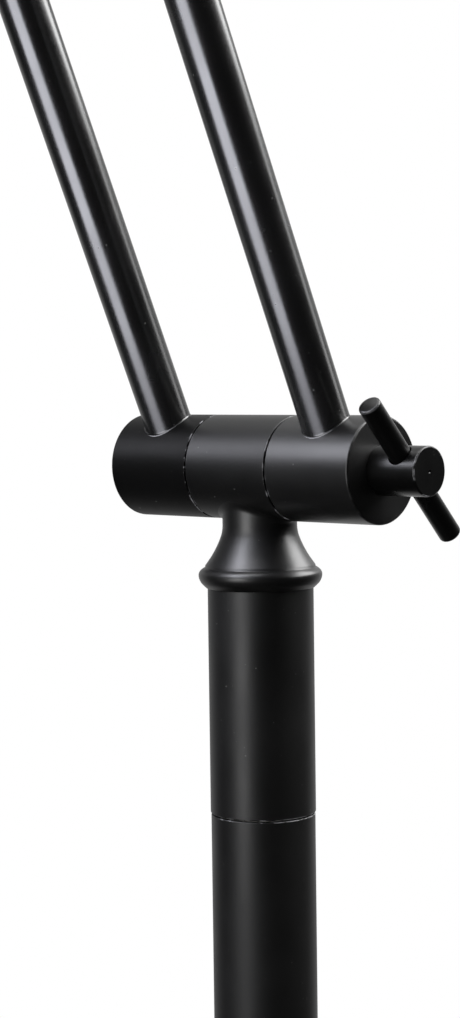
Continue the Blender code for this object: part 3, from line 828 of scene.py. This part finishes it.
def rim_loop(sections):
    """The lower edge of a skin, once round."""
    return [section[0] for section in sections] + [section[-1] for section in reversed(sections)]


# rolled hem as (depth, height above the rim), between the lower edges of the outer and the inner skin
HEM = [(0.0, 0.75), (0.12, 0.35), (0.40, 0.10), (0.90, 0.0), (1.50, 0.05), (2.00, 0.30), (2.35, 0.80),
       (2.40, 1.40), (2.15, 2.00), (1.70, 2.40)]
OUTER_LIFT = 1.1
INNER_LIFT = 2.7


def make_shade():
    """Half-round trough, black outside and white enamel inside, with a hem rolled inwards."""
    start, end = reaches("shade")
    half = extent("shade", 0) / 2.0
    rim = (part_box("shade")[0].z - UPPER.z) / MM
    bm = bmesh.new()
    inner = shade_skin(bm, SHADE_WALL, half, rim, INNER_LIFT, start, end)
    for face in bm.faces:
        face.material_index = 1
    outer = shade_skin(bm, 0.0, half, rim, OUTER_LIFT, start, end)
    loops = [rim_loop(outer)]
    for depth, height in HEM:
        loop = []
        stations = shade_stations(depth, start, end)
        for sign, row in ((1.0, stations), (-1.0, list(reversed(stations)))):
            for along, inset in row:
                width = sign * (half - depth - inset)
                loop.append(bm.verts.new(Vector((width, rim + height, along)) * MM))
        loops.append(loop)
    loops.append(rim_loop(inner))
    for first, second in zip(loops, loops[1:]):
        for i in range(len(first)):
            j = (i + 1) % len(first)
            bm.faces.new((first[i], first[j], second[j], second[i]))
    bmesh.ops.recalc_face_normals(bm, faces=bm.faces)
    shade = piece("fine_shade", bm, AT_HEAD, "satin", "lamp_head", ["shade"], extra=["enamel"])
    cut(shade, drill(SHADE_HOLE_R, start - 8.0, start + 8.0, segments=96), AT_HEAD)


# ---------------------------------------------------------------- stage, light and camera

CAMERA_OFFSET = Vector((0.3574, -0.3935, 0.0223))   # from the elbow's centre
CAMERA_HEADING = 43.02
CAMERA_PITCH = -3.48
CAMERA_ROLL = -0.77
CAMERA_LENS = 77.8
FLOOR_RADIUS = 2.6
FLOOR_FADE_FROM = 0.3         # part of the radius where the floor starts to fade
WHITE = (1.0, 1.0, 1.0)
COOL = (0.95, 0.96, 1.05)
ELBOW_CENTRE = (0.0, 0.0, 0.0)

# the studio's frame: X right, Y away and Z up, as the camera stands
STUDIO = Matrix.Rotation(math.radians(CAMERA_HEADING), 4, "Z")


def turned_to(heading, pitch, roll):
    """Rotation of something that looks along its own -Z: heading 0 looks along +Y."""
    turn = Matrix.Rotation(math.radians(heading), 4, "Z")
    tilt = Matrix.Rotation(math.radians(90.0 + pitch), 4, "X")
    return turn @ tilt @ Matrix.Rotation(math.radians(roll), 4, "Z")


def make_camera():
    """The photograph's view of the elbow."""
    data = bpy.data.cameras.new("camera")
    data.lens = CAMERA_LENS
    data.sensor_width = 36.0
    data.clip_start = 0.01
    camera = bpy.data.objects.new("camera", data)
    aim = turned_to(CAMERA_HEADING, CAMERA_PITCH, CAMERA_ROLL)
    camera.matrix_world = Matrix.Translation(ELBOW + CAMERA_OFFSET) @ aim
    bpy.context.scene.collection.objects.link(camera)
    bpy.context.scene.camera = camera


def make_floor():
    """Round pale floor that melts into the background at its rim."""
    bm = bmesh.new()
    bmesh.ops.create_circle(bm, cap_ends=True, segments=96, radius=FLOOR_RADIUS)
    mesh = bpy.data.meshes.new("floor")
    bm.to_mesh(mesh)
    bm.free()
    floor = bpy.data.objects.new("floor", mesh)
    material, nodes, links, shader = new_material("pale_floor")
    shader.inputs["Base Color"].default_value = (0.80, 0.80, 0.80, 1.0)
    shader.inputs["Roughness"].default_value = 0.9
    shader.inputs["Emission Color"].default_value = (1.0, 1.0, 1.0, 1.0)
    shader.inputs["Emission Strength"].default_value = 0.62
    where = nodes.new("ShaderNodeTexCoord")
    length = nodes.new("ShaderNodeVectorMath")
    length.operation = "LENGTH"
    links.new(where.outputs["Object"], length.inputs[0])
    fade_from = FLOOR_RADIUS * FLOOR_FADE_FROM
    fade = spread(nodes, links, length.outputs["Value"], 1.0, 0.0, fade_from, FLOOR_RADIUS)
    above = nodes.new("ShaderNodeMath")
    above.operation = "SUBTRACT"
    above.inputs[0].default_value = 1.0
    links.new(nodes.new("ShaderNodeNewGeometry").outputs["Backfacing"], above.inputs[1])
    links.new(multiply(nodes, links, fade, above.outputs["Value"]), shader.inputs["Alpha"])
    floor.visible_glossy = False
    mesh.materials.append(material)
    bpy.context.scene.collection.objects.link(floor)


def make_world():
    """White background. What the lamp mirrors is a dark room with a bright wall behind it."""
    world = bpy.data.worlds.new("studio")
    world.use_nodes = True
    nodes, links = world.node_tree.nodes, world.node_tree.links
    seen = nodes["Background"]
    seen.inputs["Color"].default_value = (1.0, 1.0, 1.0, 1.0)
    seen.inputs["Strength"].default_value = 1.0
    where = nodes.new("ShaderNodeTexCoord")
    away = nodes.new("ShaderNodeVectorMath")
    away.operation = "DOT_PRODUCT"
    away.inputs[1].default_value = STUDIO @ Vector((0.0, 1.0, 0.0))
    links.new(where.outputs["Generated"], away.inputs[0])
    room = nodes.new("ShaderNodeBackground")
    links.new(spread(nodes, links, away.outputs["Value"], 0.002, 0.8, 0.35, 0.9), room.inputs["Strength"])
    ray = nodes.new("ShaderNodeLightPath")
    choose = nodes.new("ShaderNodeMixShader")
    links.new(ray.outputs["Is Camera Ray"], choose.inputs["Fac"])
    links.new(room.outputs["Background"], choose.inputs[1])
    links.new(seen.outputs["Background"], choose.inputs[2])
    links.new(choose.outputs["Shader"], nodes["World Output"].inputs["Surface"])
    bpy.context.scene.world = world
    bpy.context.scene.view_settings.view_transform = "Standard"


def softbox(name, at, width, height, radiance, tint=WHITE, aim=ELBOW_CENTRE):
    """A panel at a place in the studio's frame (right, away, up from the elbow), facing aim."""
    data = bpy.data.lights.new(name, "AREA")
    data.shape = "RECTANGLE"
    data.size = width
    data.size_y = height
    data.energy = radiance * math.pi * width * height
    data.color = tint
    light = bpy.data.objects.new(name, data)
    spot, target = Vector(at), Vector(aim)
    facing = (spot - target).to_track_quat("Z", "Y").to_matrix().to_4x4()
    light.matrix_world = Matrix.Translation(ELBOW) @ STUDIO @ Matrix.Translation(spot) @ facing
    light.visible_camera = False
    bpy.context.scene.collection.objects.link(light)
    return light


def light_link(light, pieces, state="INCLUDE"):
    """Let a light reach only these pieces, or with EXCLUDE all but these."""
    group = bpy.data.collections.new(light.name + "_receivers")
    for thing in pieces:
        group.objects.link(thing)
    for entry in group.collection_objects:
        entry.light_linking.link_state = state
    light.light_linking.receiver_collection = group


make_camera()
make_floor()
make_world()
softbox("overhead", (0.0, 0.2, 1.9), 1.8, 1.8, 2.6)
softbox("left_front", (-0.72, -0.74, -0.02), 0.44, 0.66, 3.6)
softbox("left_upper", (-0.57, -0.48, 0.58), 0.48, 0.34, 4.6, COOL)
left_high = softbox("left_high", (-0.80, -0.08, 0.49), 0.58, 0.42, 5.7, COOL)
softbox("top", (-0.41, -0.17, 0.865), 0.41, 0.36, 5.0, COOL)
softbox("right_high", (0.68, 0.136, 0.629), 0.935, 0.78, 6.8)
neck_top = softbox("neck_top", (-0.54, -0.25, 0.71), 0.38, 0.38, 5.6, COOL)
rod_lights = [
    softbox("low_front", (-0.655, -0.645, -0.538), 0.86, 0.40, 7.1, COOL, (-0.06, 0.0, 0.1)),
    softbox("right_rim", (0.75, 0.26, 0.14), 0.20, 0.60, 2.4, WHITE, (0.0, 0.0, 0.1)),
]
necks = [
    make_barrel("elbow", AT_ELBOW_NECK, AT_ARM, "column_head"),
    make_barrel("upper", AT_HEAD, AT_UPPER, "head"),
]
light_link(left_high, necks, "EXCLUDE")
light_link(neck_top, necks)
rods = make_rods()
for light in rod_lights:
    light_link(light, rods)
make_handle("elbow", ELBOW, ELBOW_BAR_LEAN, "elbow_handle")
make_handle("upper", UPPER, UPPER_BAR_LEAN, "upper_handle")
make_cover()
make_pad()
make_collar()
make_column()
make_stem()
make_cap()
make_knob()
make_holder()
make_bulb()
make_shade()

# every CAD node, also a replaced one, gets the finish of its slot
SLOT_FINISHES = {
    "black_satin": "satin", "black_plastic": "phenolic", "cast_weight": "iron", "zinc_steel": "zinc",
    "nylon": "nylon", "pad_felt": "felt", "brass": "brass", "opal_glass": "glass",
}
for subpart in frame["record"]["subparts"]:
    materials = frame["nodes"][subpart["node"]].data.materials
    materials.clear()
    materials.append(MATERIALS[SLOT_FINISHES[subpart["material_slot"]]])
